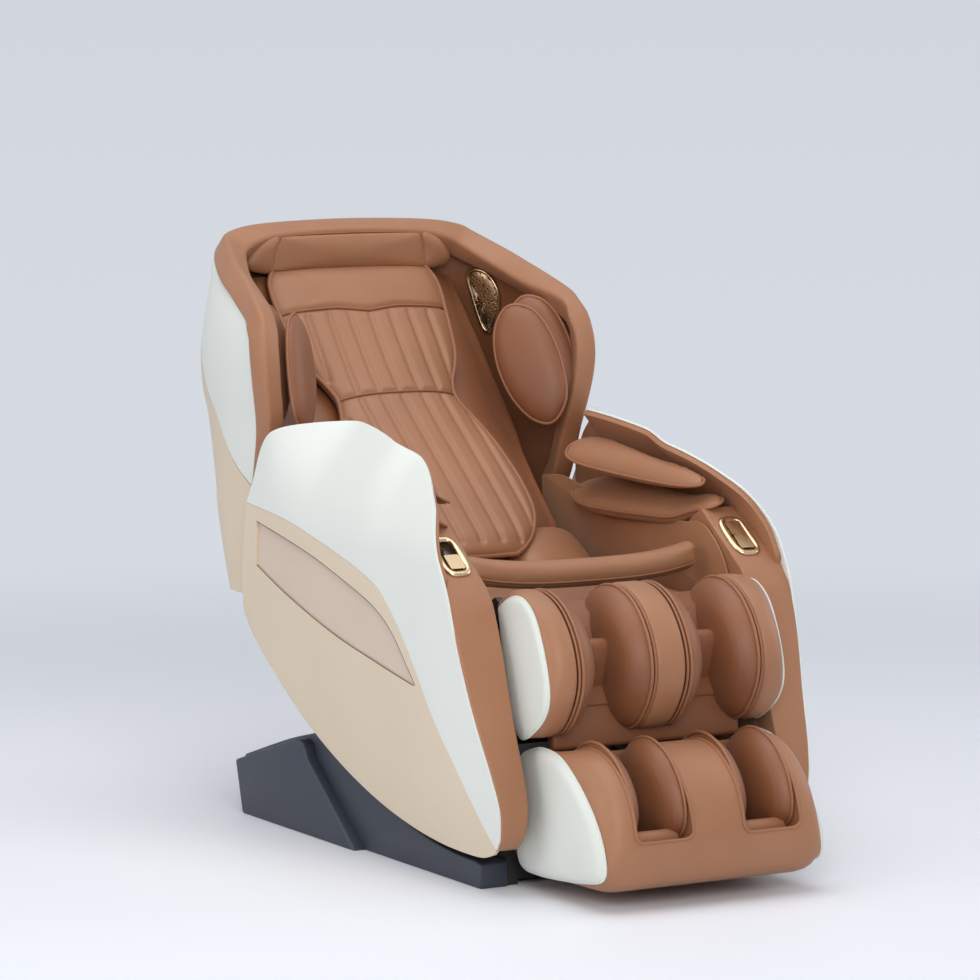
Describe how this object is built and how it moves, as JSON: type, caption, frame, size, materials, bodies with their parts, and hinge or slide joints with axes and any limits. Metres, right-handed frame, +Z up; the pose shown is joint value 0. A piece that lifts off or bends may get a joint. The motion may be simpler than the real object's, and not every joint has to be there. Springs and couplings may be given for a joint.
{
  "type": "massage chair",
  "caption": "Reclining massage chair with a rocking seat, closed arms with forearm pads, a hooded backrest with shoulder wings, and a calf and foot section that lifts and extends.",
  "frame": {"origin": "on the floor, at the middle of the chair's length and width", "axes": "+Z up, -Y the way the sitter faces, +X to the right as seen from the front; left and right in the names are as seen from the front"},
  "size_m": [0.7222, 1.4857, 1.121],
  "materials": {
    "leather": "tan synthetic leather, sewn and piped",
    "dark_leather": "tan synthetic leather in shade",
    "white": "off-white grained synthetic leather on a moulded panel",
    "beige": "beige textured moulded panel",
    "charcoal": "charcoal moulded plastic, fine grain",
    "gold": "champagne metallised plastic",
    "steel": "powder-coated steel",
    "black": "black moulded plastic"
  },
  "bodies": {
    "base": {"base_frame": "steel", "base_cover_left": "charcoal", "base_cover_right": "charcoal", "power_box": "black", "tilt_actuator": "black"},
    "switch": {"power_switch": "black"},
    "tilt_ram": {"tilt_rod": "steel"},
    "seat": {"seat_frame": "steel", "seat_cushion": "leather", "seat_bolster": "leather", "legrest_actuator": "black", "recline_actuator": "black", "arm_body_left": "dark_leather", "arm_body_right": "dark_leather", "arm_shield_left": "white", "arm_shield_right": "white", "arm_panel_left": "beige", "arm_panel_right": "beige", "arm_band_left": "leather", "arm_band_right": "leather", "arm_pad_lower_left": "leather", "arm_pad_lower_right": "leather", "arm_pad_upper_left": "leather", "arm_pad_upper_right": "leather", "control_bezel_left": "gold", "control_bezel_right": "gold"},
    "legrest_ram": {"legrest_rod": "steel"},
    "recline_ram": {"recline_rod": "steel"},
    "mode_button": {"mode_key": "gold"},
    "back_button": {"back_key": "gold"},
    "front_button": {"front_key": "gold"},
    "backrest": {"back_frame": "steel", "hood_shell": "white", "back_cover": "beige", "hood_lining": "dark_leather", "hood_rim": "leather", "back_pad": "leather", "head_pillow": "leather", "shoulder_pad_left": "leather", "shoulder_pad_right": "leather", "speaker_left": "gold", "speaker_right": "gold"},
    "carriage": {"massage_carriage": "black"},
    "screw": {"lead_screw": "steel"},
    "rocker": {"knead_rocker": "steel"},
    "roller_upper": {"massage_roller_upper": "black"},
    "roller_lower": {"massage_roller_lower": "black"},
    "legrest": {"legrest_frame": "steel", "calf_body": "leather", "calf_cover_left": "white", "calf_cover_right": "white", "calf_pad_left": "leather", "calf_pad_right": "leather"},
    "footrest": {"foot_slide": "steel", "foot_shell": "leather", "foot_cover_left": "white", "foot_cover_right": "white", "foot_pad_left": "leather", "foot_pad_right": "leather"},
    "foot_roller": {"foot_roller_shaft": "black"}
  },
  "joints": [
    {"name": "seat_tilt", "type": "hinge", "parent": "base", "child": "seat", "pos_m": [0, -0.4, 1.13], "axis": [-1, 0, 0], "range_deg": [0, 8]},
    {"name": "backrest_recline", "type": "hinge", "parent": "seat", "child": "backrest", "pos_m": [0, 0.25, 0.42], "axis": [-1, 0, 0], "range_deg": [0, 25]},
    {"name": "legrest_lift", "type": "hinge", "parent": "seat", "child": "legrest", "pos_m": [0, -0.36, 0.495], "axis": [-1, 0, 0], "range_deg": [0, 60]},
    {"name": "footrest_extend", "type": "slide", "parent": "legrest", "child": "footrest", "axis": [0, -0.3746, -0.9272], "range_m": [0, 0.1]},
    {"name": "carriage_travel", "type": "slide", "parent": "backrest", "child": "carriage", "axis": [0, 0.6088, 0.7934], "range_m": [-0.1, 0.12]},
    {"name": "screw_turn", "type": "hinge", "parent": "backrest", "child": "screw", "pos_m": [0, 0.50269, 0.72326], "axis": [0, 0.6088, 0.7934], "continuous": true},
    {"name": "knead_rock", "type": "hinge", "parent": "carriage", "child": "rocker", "pos_m": [0, 0.46196, 0.72931], "axis": [1, 0, 0], "range_deg": [-4, 4]},
    {"name": "upper_roller_spin", "type": "hinge", "parent": "rocker", "child": "roller_upper", "pos_m": [0, 0.50706, 0.79302], "axis": [1, 0, 0], "continuous": true},
    {"name": "lower_roller_spin", "type": "hinge", "parent": "rocker", "child": "roller_lower", "pos_m": [0, 0.41209, 0.66925], "axis": [1, 0, 0], "continuous": true},
    {"name": "foot_roller_spin", "type": "hinge", "parent": "footrest", "child": "foot_roller", "pos_m": [0, -0.6, 0.066], "axis": [1, 0, 0], "continuous": true},
    {"name": "tilt_ram_stroke", "type": "slide", "parent": "base", "child": "tilt_ram", "axis": [0, -1, 0], "range_m": [0, 0.125]},
    {"name": "legrest_ram_stroke", "type": "slide", "parent": "seat", "child": "legrest_ram", "axis": [0, -1, 0], "range_m": [0, 0.096]},
    {"name": "recline_ram_stroke", "type": "slide", "parent": "seat", "child": "recline_ram", "axis": [0, -1, 0], "range_m": [0, 0.04]},
    {"name": "mode_press", "type": "slide", "parent": "seat", "child": "mode_button", "axis": [0, 0.5846, -0.8113], "range_m": [0, 0.0015], "stiffness_N_per_m": 400},
    {"name": "back_press", "type": "slide", "parent": "seat", "child": "back_button", "axis": [0, 0.5846, -0.8113], "range_m": [0, 0.0015], "stiffness_N_per_m": 400},
    {"name": "front_press", "type": "slide", "parent": "seat", "child": "front_button", "axis": [0, 0.5846, -0.8113], "range_m": [0, 0.0015], "stiffness_N_per_m": 400},
    {"name": "switch_rock", "type": "hinge", "parent": "base", "child": "switch", "pos_m": [0.06, 0.451, 0.084], "axis": [1, 0, 0], "range_deg": [-8, 8]}
  ],
  "couplings": [
    {"joint": "tilt_ram_stroke", "follows": "seat_tilt", "m_per_rad": 0.895},
    {"joint": "legrest_ram_stroke", "follows": "legrest_lift", "m_per_rad": 0.0916},
    {"joint": "recline_ram_stroke", "follows": "backrest_recline", "m_per_rad": 0.0915},
    {"joint": "footrest_extend", "follows": "legrest_lift", "m_per_rad": 0.0954},
    {"joint": "screw_turn", "follows": "carriage_travel", "rad_per_m": 314.16}
  ]
}
